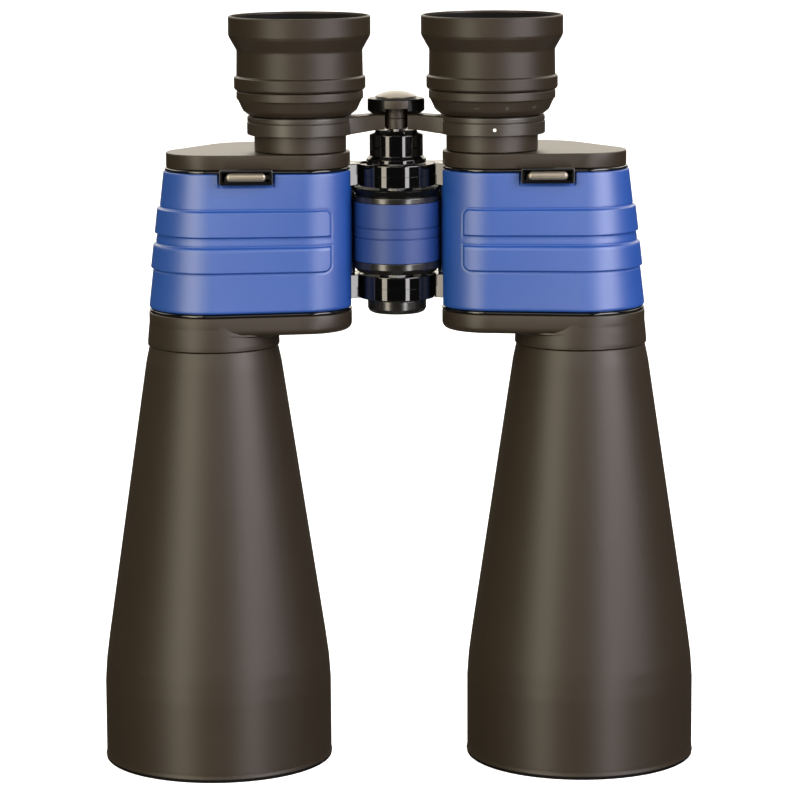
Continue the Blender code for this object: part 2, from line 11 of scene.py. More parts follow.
import bmesh
import bpy
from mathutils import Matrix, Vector


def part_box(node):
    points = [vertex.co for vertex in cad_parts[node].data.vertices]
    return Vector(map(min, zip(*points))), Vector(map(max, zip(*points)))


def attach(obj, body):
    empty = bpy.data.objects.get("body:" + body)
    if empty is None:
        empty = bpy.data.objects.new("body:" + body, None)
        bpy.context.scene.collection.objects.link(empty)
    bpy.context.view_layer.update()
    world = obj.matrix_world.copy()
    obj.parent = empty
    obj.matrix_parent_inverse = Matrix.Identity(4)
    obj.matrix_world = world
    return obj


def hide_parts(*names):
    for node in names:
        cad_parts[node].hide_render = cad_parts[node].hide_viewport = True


MM = 0.001
TURN_STEPS = 144          # facets round a turned piece
FILLET_STEPS = 6          # points round a quarter-circle fillet
SUPPORT = 0.12            # distance of the extra ring that keeps a flat face flat beside a fillet
SHARP_ANGLE = math.radians(50)

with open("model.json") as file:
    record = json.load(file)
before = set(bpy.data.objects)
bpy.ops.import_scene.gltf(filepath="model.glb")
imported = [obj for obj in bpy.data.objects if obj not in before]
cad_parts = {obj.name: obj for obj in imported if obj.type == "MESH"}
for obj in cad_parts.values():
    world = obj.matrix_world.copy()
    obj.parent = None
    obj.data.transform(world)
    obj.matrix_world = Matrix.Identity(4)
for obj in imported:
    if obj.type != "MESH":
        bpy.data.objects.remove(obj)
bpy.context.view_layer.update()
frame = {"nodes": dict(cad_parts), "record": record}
RECORD = frame["record"]
BODY_OF = {node: body for body, nodes in RECORD["behaviour"]["bodies"].items() for node in nodes}
SLOT_OF = {part["node"]: part["material_slot"] for part in RECORD["subparts"]}


# -------------------- places from the frame

class Spot:
    """Axis, radius and ends of a CAD node, in millimetres."""

    def __init__(self, node):
        low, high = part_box(node)
        self.x = (low.x + high.x) / 2 / MM
        self.y = (low.y + high.y) / 2 / MM
        self.radius = (high.x - low.x) / 2 / MM
        self.low = low / MM
        self.high = high / MM
        self.bottom = low.z / MM
        self.top = high.z / MM
        self.axis = (self.x, self.y)


# -------------------- shape helpers

def make_object(name, bm, at=(0.0, 0.0)):
    """Turn a bmesh in millimetres into a smooth-shaded object in metres."""
    bmesh.ops.translate(bm, vec=(at[0], at[1], 0.0), verts=bm.verts)
    bmesh.ops.scale(bm, vec=(MM, MM, MM), verts=bm.verts)
    bmesh.ops.recalc_face_normals(bm, faces=bm.faces)
    mesh = bpy.data.meshes.new(name)
    bm.to_mesh(mesh)
    bm.free()
    for polygon in mesh.polygons:
        polygon.use_smooth = True
    mesh.set_sharp_from_angle(angle=SHARP_ANGLE)
    obj = bpy.data.objects.new(name, mesh)
    bpy.context.scene.collection.objects.link(obj)
    return obj


def stand_for(obj, node, finish=None, replace=True):
    """Let a fine piece ride on its CAD node's body, with the node's slot material unless a finish
    is named; hide the node when replacing it.
    """
    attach(obj, BODY_OF[node])
    slot = SLOT_OF[node]
    if replace:
        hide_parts(node)
    obj.data.materials.append(MATERIALS[finish or slot])
    return obj


def rounded(corners, closed):
    """Round an outline of (a, b, fillet) corners, and keep its flats flat beside the fillets."""
    spots = [Vector(corner[:2]) for corner in corners]
    points = []
    for index, corner in enumerate(corners):
        here = spots[index]
        fillet = corner[2] if len(corner) > 2 else 0.0
        is_end = not closed and index in (0, len(corners) - 1)
        if is_end or fillet == 0.0:
            points.append(here)
            continue
        before = spots[index - 1] - here
        after = spots[(index + 1) % len(spots)] - here
        turn = math.pi - before.angle(after)
        if turn < 0.02:
            points.append(here)
            continue
        room = 0.45 * min(before.length, after.length)
        reach = min(fillet * math.tan(turn / 2), room)
        start = here + before.normalized() * reach
        end = here + after.normalized() * reach
        if before.length > 4 * reach:
            points.append(start + before.normalized() * min(SUPPORT, reach))
        steps = max(2, round(FILLET_STEPS * turn / (math.pi / 2)))
        for step in range(steps + 1):
            t = step / steps
            points.append(start * (1 - t) ** 2 + here * 2 * t * (1 - t) + end * t ** 2)
        if after.length > 4 * reach:
            points.append(end + after.normalized() * min(SUPPORT, reach))
    return points


def skin(bm, first, second):
    """Faces between two closed rows of vertices; a row of one vertex is a point."""
    count = max(len(first), len(second))
    for i in range(count):
        j = (i + 1) % count
        corners = [first[i % len(first)], first[j % len(first)],
                   second[j % len(second)], second[i % len(second)]]
        unique = []
        for vert in corners:
            if vert not in unique:
                unique.append(vert)
        if len(unique) > 2:
            bm.faces.new(unique)


def loft(name, rings, ring_shaped=False, at=(0.0, 0.0)):
    """An object through matching rings; it closes on itself or on end caps."""
    bm = bmesh.new()
    rows = [[bm.verts.new(point) for point in ring] for ring in rings]
    for first, second in zip(rows, rows[1:]):
        skin(bm, first, second)
    if ring_shaped:
        skin(bm, rows[-1], rows[0])
    else:
        for row in (rows[0], rows[-1]):
            if len(row) > 2:
                bm.faces.new(row)
    return make_object(name, bm, at)


def lathe(name, corners, at=(0.0, 0.0), ring_shaped=False, steps=TURN_STEPS):
    """Turn (radius, z, fillet) corners round an upright axis."""
    rings = []
    for radius, z in rounded(corners, ring_shaped):
        if radius < 0.001:
            rings.append([(0.0, 0.0, z)])
            continue
        angles = [2 * math.pi * step / steps for step in range(steps)]
        rings.append([(radius * math.cos(a), radius * math.sin(a), z) for a in angles])
    return loft(name, rings, ring_shaped, at)


def turned(name, corners, node, at=(0.0, 0.0), finish=None, replace=True, steps=TURN_STEPS):
    """A ring-shaped turned piece that stands for a node."""
    stand_for(lathe(name, corners, at, True, steps), node, finish, replace)


def slab(name, outline, levels):
    """Stack an outline of (point, normal) pairs at (z, inset) levels."""
    rings = []
    for z, inset in levels:
        rings.append([(p.x - inset * n.x, p.y - inset * n.y, z) for p, n in outline])
    return loft(name, rings)


def quarter(steps=FILLET_STEPS, first=0):
    """(sine, cosine) pairs round a quarter circle."""
    angles = [math.pi / 2 * step / steps for step in range(first, steps + 1)]
    return [(math.sin(angle), math.cos(angle)) for angle in angles]


def edge_levels(bottom, top, fillet):
    """(z, inset) levels of a block whose two long edges are rounded."""
    levels = [(bottom + fillet * (1 - c), fillet * (1 - s)) for s, c in quarter()]
    levels += [(bottom + fillet + SUPPORT, 0.0), (top - fillet - SUPPORT, 0.0)]
    levels += [(top - fillet * (1 - s), fillet * (1 - c)) for s, c in quarter()]
    return levels


def with_normals(points):
    """Pair each point of a counter-clockwise outline with its outward normal."""
    pairs = []
    for index, point in enumerate(points):
        ahead = points[(index + 1) % len(points)]
        behind = points[index - 1]
        along = (ahead - behind).normalized()
        pairs.append((point, Vector((along.y, -along.x))))
    return pairs


def on_half(side, points, at=(0.0, 0.0)):
    """An outline moved to its place on one half, still counter-clockwise, with its normals."""
    placed = [Vector((side * (at[0] + p.x), at[1] + p.y)) for p in points]
    if side < 0:
        placed.reverse()
    return with_normals(placed)


def cut_away(obj, tool):
    """Take the tool's volume out of an object, and drop the tool."""
    cut = obj.modifiers.new("cut", "BOOLEAN")
    cut.operation = "DIFFERENCE"
    cut.object = tool
    bpy.context.view_layer.update()
    evaluated = obj.evaluated_get(bpy.context.evaluated_depsgraph_get())
    mesh = bpy.data.meshes.new_from_object(evaluated)
    mesh.set_sharp_from_angle(angle=SHARP_ANGLE)
    obj.modifiers.clear()
    obj.data = mesh
    bpy.data.objects.remove(tool)


# -------------------- materials

class Graph:
    """Short ways to add and link the nodes of a node tree."""

    def __init__(self, tree):
        self.nodes = tree.nodes
        self.links = tree.links

    def feed(self, node, sockets):
        """Give each socket its value, or a link where the value is another socket."""
        for socket, value in sockets.items():
            if isinstance(value, bpy.types.NodeSocket):
                self.links.new(value, node.inputs[socket])
            else:
                node.inputs[socket].default_value = value

    def noise(self, place, scale, detail):
        """Smooth noise of 0 to 1."""
        node = self.nodes.new("ShaderNodeTexNoise")
        self.feed(node, {"Vector": place, "Scale": scale, "Detail": detail})
        return node.outputs["Fac"]

    def tint(self, share, first, second):
        """The second colour in place of the first one, by a share."""
        node = self.nodes.new("ShaderNodeMix")
        node.data_type = "RGBA"
        self.feed(node, {"Factor": share, "A": first, "B": second})
        return node.outputs["Result"]

    def ramp(self, source, start, end, low=0.0, high=1.0, shape="SMOOTHSTEP"):
        """A step from low to high while the source goes from start to end."""
        node = self.nodes.new("ShaderNodeMapRange")
        node.interpolation_type = shape
        self.feed(node, {"Value": source, "From Min": start, "From Max": end,
                         "To Min": low, "To Max": high})
        return node.outputs["Result"]

    def combine(self, operation, *sources):
        """A calculation with one or two sockets."""
        node = self.nodes.new("ShaderNodeMath")
        node.operation = operation
        self.feed(node, dict(enumerate(sources)))
        return node.outputs["Value"]

    def background(self, color, strength=1.0):
        """An even light from all round."""
        node = self.nodes.new("ShaderNodeBackground")
        self.feed(node, {"Color": (*color, 1.0), "Strength": strength})
        return node.outputs["Background"]

    def blend(self, share, first, second):
        """The second light in place of the first one, by a share."""
        node = self.nodes.new("ShaderNodeMixShader")
        self.feed(node, {"Fac": share, 1: first, 2: second})
        return node.outputs["Shader"]


CLOUD_SCALE = 45.0        # of the broad mottling
WORN_LIT_EDGE = (0.53, 0.62)  # pointiness at which edges begin to lighten, as worn paint and painted highlight, and are lightest
WORN_LIT_SHARE = 0.7


def surface(name, color, shade, roughness, spread, grain, depth, streak=1.0, edge_wear_and_highlight=None,
            metallic=0.0, specular=0.5):
    """A mottled, finely grained shader: grain is the pattern's size in mm, depth its height."""
    material = bpy.data.materials.new(name)
    material.use_nodes = True
    graph = Graph(material.node_tree)
    place = graph.nodes.new("ShaderNodeTexCoord").outputs["Object"]
    stretch = graph.nodes.new("ShaderNodeMapping")
    graph.feed(stretch, {"Vector": place, "Scale": (1.0, 1.0, 1.0 / streak)})
    cloud = graph.noise(place, CLOUD_SCALE, 4.0)
    fine = graph.noise(stretch.outputs["Vector"], 1.0 / (grain * MM), 3.0)
    painted = graph.tint(cloud, (*color, 1.0), (*shade, 1.0))
    # Convex edges turn lighter by pointiness: partly worn paint, partly a painted highlight.
    if edge_wear_and_highlight:
        point = graph.nodes.new("ShaderNodeNewGeometry").outputs["Pointiness"]
        worn_and_lit = graph.ramp(point, *WORN_LIT_EDGE, 0.0, WORN_LIT_SHARE, "LINEAR")
        painted = graph.tint(graph.combine("MULTIPLY", worn_and_lit, cloud), painted, (*edge_wear_and_highlight, 1.0))
    gloss = graph.ramp(fine, 0.0, 1.0, roughness - spread, roughness + spread, "LINEAR")
    bump = graph.nodes.new("ShaderNodeBump")
    graph.feed(bump, {"Height": fine, "Strength": 1.0, "Distance": depth * MM})
    graph.feed(graph.nodes["Principled BSDF"],
               {"Base Color": painted, "Metallic": metallic, "Roughness": gloss,
                "Specular IOR Level": specular, "Normal": bump.outputs["Normal"]})
    return material


def coated_glass(name, color, tint):
    """Polished optical glass whose coating tints its reflections."""
    material = surface(name, color, [0.8 * part for part in color], 0.025, 0.01, 6.0, 0.0004,
                       specular=0.9)
    shader = material.node_tree.nodes["Principled BSDF"]
    shader.inputs["Transmission Weight"].default_value = 0.6
    shader.inputs["IOR"].default_value = 1.52
    shader.inputs["Specular Tint"].default_value = (*tint, 1.0)
    return material


# Colour, shade, roughness, spread, grain, depth, and surface's other settings; the edge colour
# lightens convex edges, partly as worn paint and partly as painted highlight.
FINISHES = {
    "satin_paint": ((0.022, 0.0155, 0.0085), (0.018, 0.0122, 0.0065), 0.44, 0.05, 0.35, 0.004,
                    {"edge_wear_and_highlight": (0.07, 0.055, 0.04), "specular": 0.42}),
    "cup_rubber": ((0.020, 0.0135, 0.007), (0.016, 0.011, 0.006), 0.44, 0.05, 0.28, 0.008,
                   {"specular": 0.33}),
    "ring_paint": ((0.026, 0.021, 0.015), (0.021, 0.017, 0.012), 0.36, 0.06, 0.22, 0.005,
                   {"streak": 0.15, "specular": 0.48}),
    "blue_rubber": ((0.0025, 0.050, 0.255), (0.0020, 0.042, 0.225), 0.45, 0.05, 0.30, 0.010,
                    {"specular": 1.0}),
    # A darker copy of the blue rubber: painted shade on the wheel's sleeve, which sits between the
    # housings.
    "shaded_wheel_rubber": ((0.0018, 0.027, 0.150), (0.0015, 0.023, 0.130), 0.50, 0.04, 0.30, 0.008,
                     {"specular": 0.6}),
    # Pale metal for the lug's bar: a painted highlight, lighter than the glossy black lug round it.
    "lug_bar_painted_highlight": ((0.30, 0.27, 0.22), (0.25, 0.225, 0.185), 0.42, 0.05, 0.30, 0.004,
                {"metallic": 0.9}),
    "gloss_black": ((0.0010, 0.0010, 0.0012), (0.0016, 0.0016, 0.0016), 0.06, 0.015, 2.2, 0.0012,
                    {"streak": 6.0, "edge_wear_and_highlight": (0.03, 0.03, 0.03), "specular": 0.7}),
    "satin_black": ((0.005, 0.0045, 0.004), (0.008, 0.007, 0.006), 0.22, 0.04, 0.6, 0.003,
                    {"specular": 0.8}),
    # Near-black with little gloss: painted shade, laid as a sheet in the eyecup's bowl and as a
    # band round the objective rim's foot.
    "shade_black": ((0.0022, 0.0020, 0.0018), (0.0032, 0.0028, 0.0025), 0.62, 0.05, 0.30, 0.010,
                   {"specular": 0.08}),
    "disc_black": ((0.0015, 0.0015, 0.0015), (0.0025, 0.0025, 0.0025), 0.16, 0.03, 0.50, 0.003,
                   {"specular": 0.16}),
    "bare_metal": ((0.56, 0.56, 0.57), (0.48, 0.48, 0.49), 0.28, 0.06, 0.25, 0.004,
                   {"streak": 0.1, "metallic": 1.0}),
    "brass": ((0.62, 0.44, 0.18), (0.50, 0.34, 0.13), 0.30, 0.06, 0.25, 0.004,
              {"streak": 0.1, "metallic": 1.0}),
    "pale_cap": ((0.145, 0.130, 0.110), (0.135, 0.120, 0.100), 0.32, 0.02, 0.30, 0.0005,
                 {"metallic": 0.6}),
    "inner_black": ((0.006, 0.006, 0.006), (0.010, 0.010, 0.010), 0.75, 0.08, 0.40, 0.010,
                    {"specular": 0.2}),
    "white_paint": ((0.85, 0.85, 0.82), (0.78, 0.78, 0.75), 0.40, 0.05, 0.20, 0.004, {}),
    "mark_paint": ((0.060, 0.052, 0.045), (0.045, 0.040, 0.034), 0.35, 0.05, 0.20, 0.004, {}),
}
MATERIALS = {name: surface(name, *look, **extras) for name, (*look, extras) in FINISHES.items()}
MATERIALS["glass"] = coated_glass("glass", (0.30, 0.38, 0.36), (0.45, 0.75, 0.60))


# -------------------- the housing's outline

EYE_X = Spot("right_eyecup").x
OBJECTIVE_X = Spot("right_objective_tube").x
HUMP = ((EYE_X + OBJECTIVE_X) / 2, 16.5)
WELLS = (Vector((OBJECTIVE_X, 0.0)), Vector(HUMP), Vector((EYE_X, 0.0)))
ARMOR = Spot("right_armor")
RADII_LOW = (23.9, 23.8, 19.1)    # round the three wells, at the armour's lower end
RADII_HIGH = (17.8, 22.8, 19.1)   # and at its upper end
LID_RADII = (16.8, 21.7, 18.4)    # of the rear cover
COVER_RADII = (23.9, 23.6, 18.7)  # of the front cover
BAND_RAISE = 0.9
BAND_END_X = 24.4
PAD = (186.8, 209.7)      # lowest and highest z of the grip pad
PAD_SLOT = (196.3, 199.8)
PAD_CORNER = 2.6


def housing_radii(z):
    """Section radii of the armoured housing, which flares towards the objectives."""
    share = (z - ARMOR.bottom) / (ARMOR.top - ARMOR.bottom)
    return [low + (high - low) * share for low, high in zip(RADII_LOW, RADII_HIGH)]


def side_angle(first, second, radii):
    """Outward direction of the straight side that joins two neighbouring wells."""
    across = WELLS[second] - WELLS[first]
    lean = (radii[first] - radii[second]) / across.length
    return math.atan2(across.y, across.x) - math.acos(lean)


def outline_keys(arc_step, side_step):
    """Places round the housing: ("arc", well, angle) or ("side", well, (angle, share))."""
    radii = [(low + high) / 2 for low, high in zip(RADII_LOW, RADII_HIGH)]
    keys = []
    for well in range(3):
        start = side_angle(well - 1, well, radii)
        end = side_angle(well, (well + 1) % 3, radii)
        span = (end - start) % (2 * math.pi)
        count = max(2, round(span / arc_step))
        keys += [("arc", well, start + span * step / count) for step in range(count + 1)]
        length = (WELLS[(well + 1) % 3] - WELLS[well]).length
        count = max(2, round(length / side_step))
        keys += [("side", well, (end, step / count)) for step in range(1, count)]
    return keys


def outline_point(key, radii):
    """The point and outward normal of one place round the housing."""
    kind, well, value = key
    if kind == "arc":
        normal = Vector((math.cos(value), math.sin(value)))
        return WELLS[well] + normal * radii[well], normal
    angle, share = value
    normal = Vector((math.cos(angle), math.sin(angle)))
    after = (well + 1) % 3
    start = WELLS[well] + normal * radii[well]
    end = WELLS[after] + normal * radii[after]
    return start.lerp(end, share), normal


def housing_ring(side, z, radii, inset, keys, lift=None):
    """One ring of points round the housing at height z; lift adds relief to each point."""
    ring = []
    for key in keys:
        point, normal = outline_point(key, radii)
        out = -inset
        if lift:
            out += lift(point, z)
        point = point + normal * out
        ring.append((side * point.x, point.y, z))
    return ring


COARSE_KEYS = outline_keys(math.radians(3), 2.5)


def housing_loft(name, side, levels, radii_at, ring_shaped=False, keys=COARSE_KEYS, lift=None):
    """Skin rings round the housing at (z, inset) levels."""
    rings = [housing_ring(side, z, radii_at(z), inset, keys, lift) for z, inset in levels]
    return loft(name, rings, ring_shaped)


# -------------------- armour

LUG = Spot("right_strap_lug")
UPPER_EAR = (217.1, 225.3)
LOWER_EAR = (175.2, 184.0)
NOTCH_DEPTH = 1.3
NOTCH_EDGE = 0.35
NOTCH_GAP = 0.4           # clearance round an arm or a lug
FAR = 9.9                 # well outside any notch
BAND_SLOPE = 0.55         # width of the grip pads' edges
GROOVE_DEPTH = 0.22       # of the fine groove round each pad
GROOVE_MIDDLE = -0.3
GROOVE_FOOT = -0.75
FINE_STEP, WIDE_STEP = 0.19, 1.3  # between places round the armour
EDGE_RISE, CORNER_RISE, FLAT_RISE = 0.13, 0.3, 1.2  # between its rings
ARM_NOTCH = (-4.4, 9.9)   # front and back edge of the hollow where a hinge arm leaves the rubber


def ramp(value):
    """Smooth 0 to 1 step."""
    value = min(1.0, max(0.0, value))
    return value * value * (3 - 2 * value)


def pad_depth(x, z):
    """How far a place lies inside the grip pad, negative outside it."""
    middle = (PAD[0] + PAD[1]) / 2
    from_end = x - BAND_END_X
    from_edge = (PAD[1] - PAD[0]) / 2 - abs(z - middle)
    if from_end < PAD_CORNER and from_edge < PAD_CORNER:
        corner = Vector((PAD_CORNER - from_end, PAD_CORNER - from_edge))
        inside = PAD_CORNER - corner.length
    else:
        inside = min(from_end, from_edge)
    from_slot = max(PAD_SLOT[0] - z, z - PAD_SLOT[1])
    return min(inside, from_slot)


def box_depth(value, low, high):
    """How far a value lies inside a range."""
    return min(value - low, high - value)


def armor_lift(point, z):
    """Relief of the rubber: raised grip pads, and the hollows under the arms and the lug.

    The two mouths have none, so that the skin keeps its thickness there.
    """
    if z <= ARMOR.bottom or z >= ARMOR.top:
        return 0.0
    depth = pad_depth(point.x, z)
    relief = BAND_RAISE * ramp(depth / BAND_SLOPE)
    if GROOVE_FOOT < depth < 0.0:
        relief -= GROOVE_DEPTH * (1 - abs(depth - GROOVE_MIDDLE) / (GROOVE_MIDDLE - GROOVE_FOOT))
    notch = -FAR
    if point.x < EYE_X:
        across = box_depth(point.y, *ARM_NOTCH)
        notch = min(across, max(z - UPPER_EAR[0] + NOTCH_GAP, LOWER_EAR[1] + NOTCH_GAP - z))
    if point.y < 0:
        across = box_depth(point.x, LUG.low.x - NOTCH_GAP, LUG.high.x + NOTCH_GAP)
        notch = max(notch, min(across, z - LUG.bottom + NOTCH_GAP))
    return relief - NOTCH_DEPTH * ramp(notch / NOTCH_EDGE + 0.5)


def thin_out(keys):
    """Keep fine steps beside the relief's upright edges, and wide ones elsewhere."""
    radii = housing_radii((ARMOR.bottom + ARMOR.top) / 2)
    kept = []
    travelled = 0.0
    last = None
    for key in keys:
        point, _ = outline_point(key, radii)
        if last is not None:
            travelled += (point - last).length
        last = point
        near_end = abs(point.x - BAND_END_X - 0.8) < 2.2  # the pad's end and its round corners
        near_arm = point.x < EYE_X and min(abs(point.y - edge) for edge in ARM_NOTCH) < 0.7
        near_lug = point.y < 0 and min(abs(point.x - LUG.low.x), abs(point.x - LUG.high.x)) < 0.9
        limit = FINE_STEP if near_end or near_arm or near_lug else WIDE_STEP
        if not kept or travelled >= limit:
            kept.append(key)
            travelled = 0.0
    return kept


def armor_levels():
    """Heights of the armour's rings, close together beside each edge of its relief."""
    edges = (*PAD, *PAD_SLOT, LUG.bottom, UPPER_EAR[0], LOWER_EAR[1] + 0.6)
    heights = []
    z = ARMOR.bottom + 1.4
    while z < ARMOR.top - 1.0:
        near_edge = min(abs(z - edge) for edge in edges) < 0.85
        in_corner = min(abs(z - PAD[0]), abs(z - PAD[1])) < PAD_CORNER + 0.3
        heights.append(z)
        z += EDGE_RISE if near_edge else CORNER_RISE if in_corner else FLAT_RISE
    return heights


def make_armor(side, prefix):
    """The rubber skin, with rounded mouths, raised grip pads and hollows for arms and lug."""
    keys = thin_out(outline_keys(math.radians(0.5), 0.18))
    bottom, top = ARMOR.bottom, ARMOR.top
    mouth = 1.2
    lip = 0.5
    thick = 1.65
    levels = [(bottom + mouth * (1 - c), mouth * (1 - s)) for s, c in quarter()]
    levels += [(z, 0.0) for z in armor_levels()]
    levels += [(top - lip * (1 - s), lip * (1 - c)) for s, c in quarter()]
    levels += [(top, thick), (bottom, thick)]
    skin_piece = housing_loft(prefix + "rubber_armor", side, levels, housing_radii,
                              ring_shaped=True, keys=keys, lift=armor_lift)
    stand_for(skin_piece, prefix + "armor")


# -------------------- housing, arms and lug

EAR_RADIUS = 14.0
EAR_GAP = 0.04            # from the middle of a knuckle to each ear
HINGE_BORE = 6.3
ARM_FRONT_Y = -3.0
ARM_BACK_Y = 9.4
ARM_LEAN = math.radians(17)
ARM_SINK = 4.0            # how far an arm reaches into the housing
ARM_CLEARANCE = 0.3       # between an arm and the other half's ear
NECK_X = 9.0              # inner end of the neck that joins an ear to its arm
NECK_OVERLAP = 1.5
BEAD_ROOT = 3.2           # how far a seam's bead reaches in behind the armour
LOWER_SEAM = (170.75, 171.85)
WALL = (171.4, 223.7)
WALL_INSET = 2.0
RIB_PLACE = (17.4, 8.0)   # x and y of the rib behind the wheel
RIB_HALF_SIZE = (1.9, 1.8)
EYEPIECE_HOLE = 15.0


def bead_levels(bottom, top, inset):
    """Levels of a half-round bead that closes the gap beside the armour."""
    middle = (bottom + top) / 2
    radius = (top - bottom) / 2
    angles = [math.pi * step / 8 - math.pi / 2 for step in range(9)]
    levels = [(middle + radius * math.sin(a), inset + radius * (1 - math.cos(a))) for a in angles]
    return levels + [(top, inset + BEAD_ROOT), (bottom, inset + BEAD_ROOT)]


def across_circle(radius, y):
    """X of a circle round the hinge axis, at y."""
    return math.sqrt(radius ** 2 - y ** 2)


def arm_side(y, lean):
    """Points along one side of a hinge arm, from the ear's circle out into the housing."""
    start = Vector((across_circle(EAR_RADIUS, y), y))
    reach_x = EYE_X - RADII_HIGH[2] + ARM_SINK
    end = Vector((reach_x, y - (reach_x - start.x) * math.tan(lean)))
    return [start.lerp(end, step / 10) for step in range(11)]


def arm_sides():
    """Both sides of a hinge arm: out along the front one and back along the other."""
    return arm_side(ARM_FRONT_Y, ARM_LEAN) + arm_side(ARM_BACK_Y, 0.0)[::-1]


def arm_outline(cut_radius):
    """A hinge arm, counter-clockwise, whose inner end follows a circle round the axis."""
    points = [p for p in arm_sides() if p.length > cut_radius + 0.1]
    reach = across_circle(cut_radius, ARM_FRONT_Y) - across_circle(EAR_RADIUS, ARM_FRONT_Y)
    front = math.asin((ARM_FRONT_Y - reach * math.tan(ARM_LEAN)) / cut_radius)
    back = math.asin(ARM_BACK_Y / cut_radius)
    for step in range(13):
        angle = back + (front - back) * step / 12
        points.append(Vector((cut_radius * math.cos(angle), cut_radius * math.sin(angle))))
    return points


def make_knuckle(side, prefix, label, ears, own_low):
    """One ear at half height, and its full-height arm that clears the other half's ear."""
    bottom, top = ears
    split = (bottom + top) / 2
    own = (bottom, split - EAR_GAP) if own_low else (split + EAR_GAP, top)
    high_edge, low_edge = (0.02, 0.3) if own_low else (0.3, 0.02)
    ring = [(EAR_RADIUS, own[1], high_edge), (EAR_RADIUS, own[0], low_edge),
            (HINGE_BORE, own[0], 0.15), (HINGE_BORE, own[1], 0.15)]
    turned(f"{prefix}{label}_ear", ring, prefix + "prism_housing")
    neck = [Vector((NECK_X, ARM_FRONT_Y))]
    neck += [p for p in arm_sides() if p.length < EAR_RADIUS + NECK_OVERLAP]
    neck.append(Vector((NECK_X, ARM_BACK_Y)))
    arm = arm_outline(EAR_RADIUS + ARM_CLEARANCE)
    for name, points, levels in (("arm", arm, edge_levels(bottom, top, 0.25)),
                                 ("neck", neck, edge_levels(*own, 0.03))):
        piece = slab(f"{prefix}{label}_{name}", on_half(side, points), levels)
        stand_for(piece, prefix + "prism_housing", replace=False)


def make_housing(side, prefix):
    """The seams above and below the armour, the inner wall, the rib and the hinge arms."""
    node = prefix + "prism_housing"
    seams = (("lower", *LOWER_SEAM), ("upper", ARMOR.top + 0.15, ARMOR.top + 1.3))
    for label, bottom, top in seams:
        seam = housing_loft(f"{prefix}{label}_seam", side, bead_levels(bottom, top, 0.35),
                            housing_radii, ring_shaped=True)
        stand_for(seam, node)
    outside = [(z, WALL_INSET) for z in WALL]
    inside = [(z, 2 * WALL_INSET) for z in reversed(WALL)]
    cast = housing_loft(prefix + "housing_wall", side, outside + inside, housing_radii,
                        ring_shaped=True)
    stand_for(cast, node)
    rib = on_half(side, rounded_box_outline(*RIB_HALF_SIZE, 0.4), RIB_PLACE)
    rib_levels = edge_levels(LOWER_EAR[1] - 1.0, UPPER_EAR[0] + 1.0, 0.2)
    stand_for(slab(prefix + "housing_rib", rib, rib_levels), node, replace=False)
    is_left = side < 0
    make_knuckle(side, prefix, "upper", UPPER_EAR, own_low=not is_left)
    make_knuckle(side, prefix, "lower", LOWER_EAR, own_low=is_left)


def make_covers(side, prefix):
    """The front cover with its flared collar, and the rear cover with its eyepiece hole."""
    front = Spot(prefix + "front_cover")
    bottom, top = front.bottom + 5.4, front.top
    round_over = 2.6
    levels = [(bottom, round_over + 6.0)]
    levels += [(bottom + round_over * (1 - c), round_over * (1 - s)) for s, c in quarter(8)]
    levels += [(bottom + round_over + 0.3, 0.0), (top - 0.35, 0.0), (top - 0.1, 0.1),
               (top, 0.4), (top, 2.6)]
    plate = housing_loft(prefix + "front_cover_shell", side, levels, lambda z: COVER_RADII)
    stand_for(plate, prefix + "front_cover")
    axis = Spot(prefix + "objective_tube").axis
    collar = [(23.7, top - 0.4, 0.2), (23.75, top - 3.0, 4.0), (24.2, bottom + 0.4, 4.0),
              (24.6, front.bottom + 1.5, 2.0), (24.6, front.bottom, 0.25),
              (21.9, front.bottom, 0.2), (21.9, top - 0.4, 0.2)]
    turned(prefix + "front_cover_collar", collar, prefix + "front_cover", axis)
    make_collar_fillet(side, prefix, axis, bottom)

    lid = Spot(prefix + "rear_cover")
    low, high = lid.bottom, lid.top
    edge = 0.45
    levels = [(low, 3.0), (low, 0.35), (low + 0.12, 0.1), (low + 0.4, 0.0), (high - 1.0, 0.0)]
    levels += [(high - edge * (1 - s), edge * (1 - c)) for s, c in quarter()]
    levels += [(high, 0.8), (high, 3.0)]
    cover = housing_loft(prefix + "rear_cover_shell", side, levels, lambda z: LID_RADII)
    hole = [(0.0, high + 1.0), (EYEPIECE_HOLE, high + 1.0), (EYEPIECE_HOLE, low - 1.0),
            (0.0, low - 1.0)]
    cut_away(cover, lathe("hole_tool", hole, (side * EYE_X, 0.0)))
    stand_for(cover, prefix + "rear_cover")


def make_collar_fillet(side, prefix, axis, bottom):
    """The hollow curve where the collar runs out into the cover's underside."""
    steps = 40
    sweep = math.radians(150)
    foot = 24.0
    middle = math.pi if side > 0 else 0.0  # towards the hinge
    rings = []
    for step in range(steps + 1):
        angle = middle - sweep / 2 + sweep * step / steps
        fade = math.cos(math.pi * (step / steps - 0.5))
        reach = 0.05 + 3.4 * fade
        row = [(foot, bottom + 0.6), (foot, bottom - reach)]
        row += [(foot + reach * (1 - c), bottom - reach * (1 - s)) for s, c in quarter(6, 1)]
        row.append((foot + reach, bottom + 0.6))
        rings.append([(axis[0] + r * math.cos(angle), axis[1] + r * math.sin(angle), z)
                      for r, z in row])
    fillet = loft(prefix + "front_cover_fillet", rings)
    stand_for(fillet, prefix + "front_cover", replace=False)


def pill(half_length, radius, steps=12):
    """A bar outline with round ends, as (across, up) pairs."""
    points = []
    for end, start in ((1, -math.pi / 2), (-1, math.pi / 2)):
        for step in range(steps + 1):
            angle = start + math.pi * step / steps
            points.append(Vector((end * half_length + radius * math.cos(angle),
                                  radius * math.sin(angle))))
    return points


